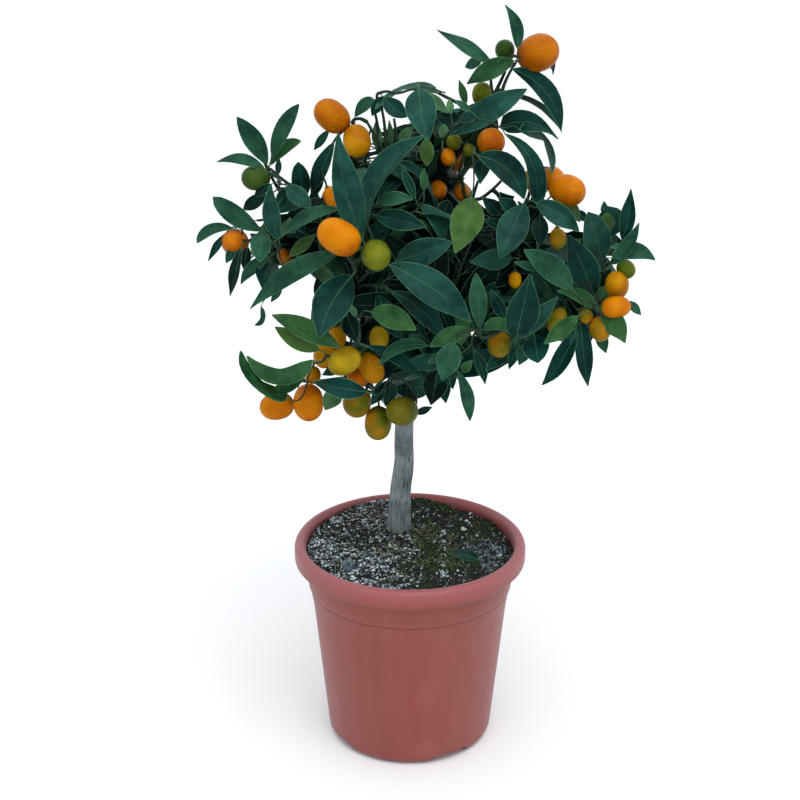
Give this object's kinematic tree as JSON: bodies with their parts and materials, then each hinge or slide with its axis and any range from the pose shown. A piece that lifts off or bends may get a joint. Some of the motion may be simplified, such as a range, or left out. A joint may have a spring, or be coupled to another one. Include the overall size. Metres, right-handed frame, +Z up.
{
  "type": "potted kumquat tree",
  "caption": "Small standard kumquat tree with glossy leaves and oval orange fruit, growing in a round terracotta-coloured nursery pot.",
  "frame": {"origin": "middle of the pot's flat underside, on the surface that the pot stands on", "axes": "+Z up the trunk; the front of the tree, as pictured, faces -Y, and +X is to its right"},
  "size_m": [0.3881, 0.3202, 0.67],
  "materials": {
    "pot_plastic": "satin terracotta-coloured moulded plastic",
    "soil": "damp potting soil with pale grit and moss",
    "bark": "grey bark with fine upright fissures",
    "foliage": "deep green leathery leaves with a soft sheen, and orange fruit"
  },
  "bodies": {
    "root": {"pot": "pot_plastic", "soil": "soil", "trunk": "bark", "bough_leader": "bark", "bough_left": "bark", "bough_right": "bark", "bough_front": "bark", "bough_back": "bark", "bough_front_left": "bark", "bough_low_left": "bark", "bough_low_front": "bark", "bough_low_right": "bark", "bough_upper_left": "bark", "bough_back_top": "bark", "bough_back_left": "bark", "bough_back_right": "bark", "foliage_crown_tip": "foliage", "foliage_crown_top": "foliage", "foliage_upper_left": "foliage", "foliage_left_upper": "foliage", "foliage_left": "foliage", "foliage_inner_left": "foliage", "foliage_front_left": "foliage", "foliage_low_left": "foliage", "foliage_low_left_tip": "foliage", "foliage_front": "foliage", "foliage_low_front": "foliage", "foliage_right_upper": "foliage", "foliage_inner_right": "foliage", "foliage_right": "foliage", "foliage_low_right": "foliage", "foliage_back_top": "foliage", "foliage_back_left": "foliage", "foliage_back_right": "foliage", "foliage_back_low": "foliage"}
  },
  "joints": []
}
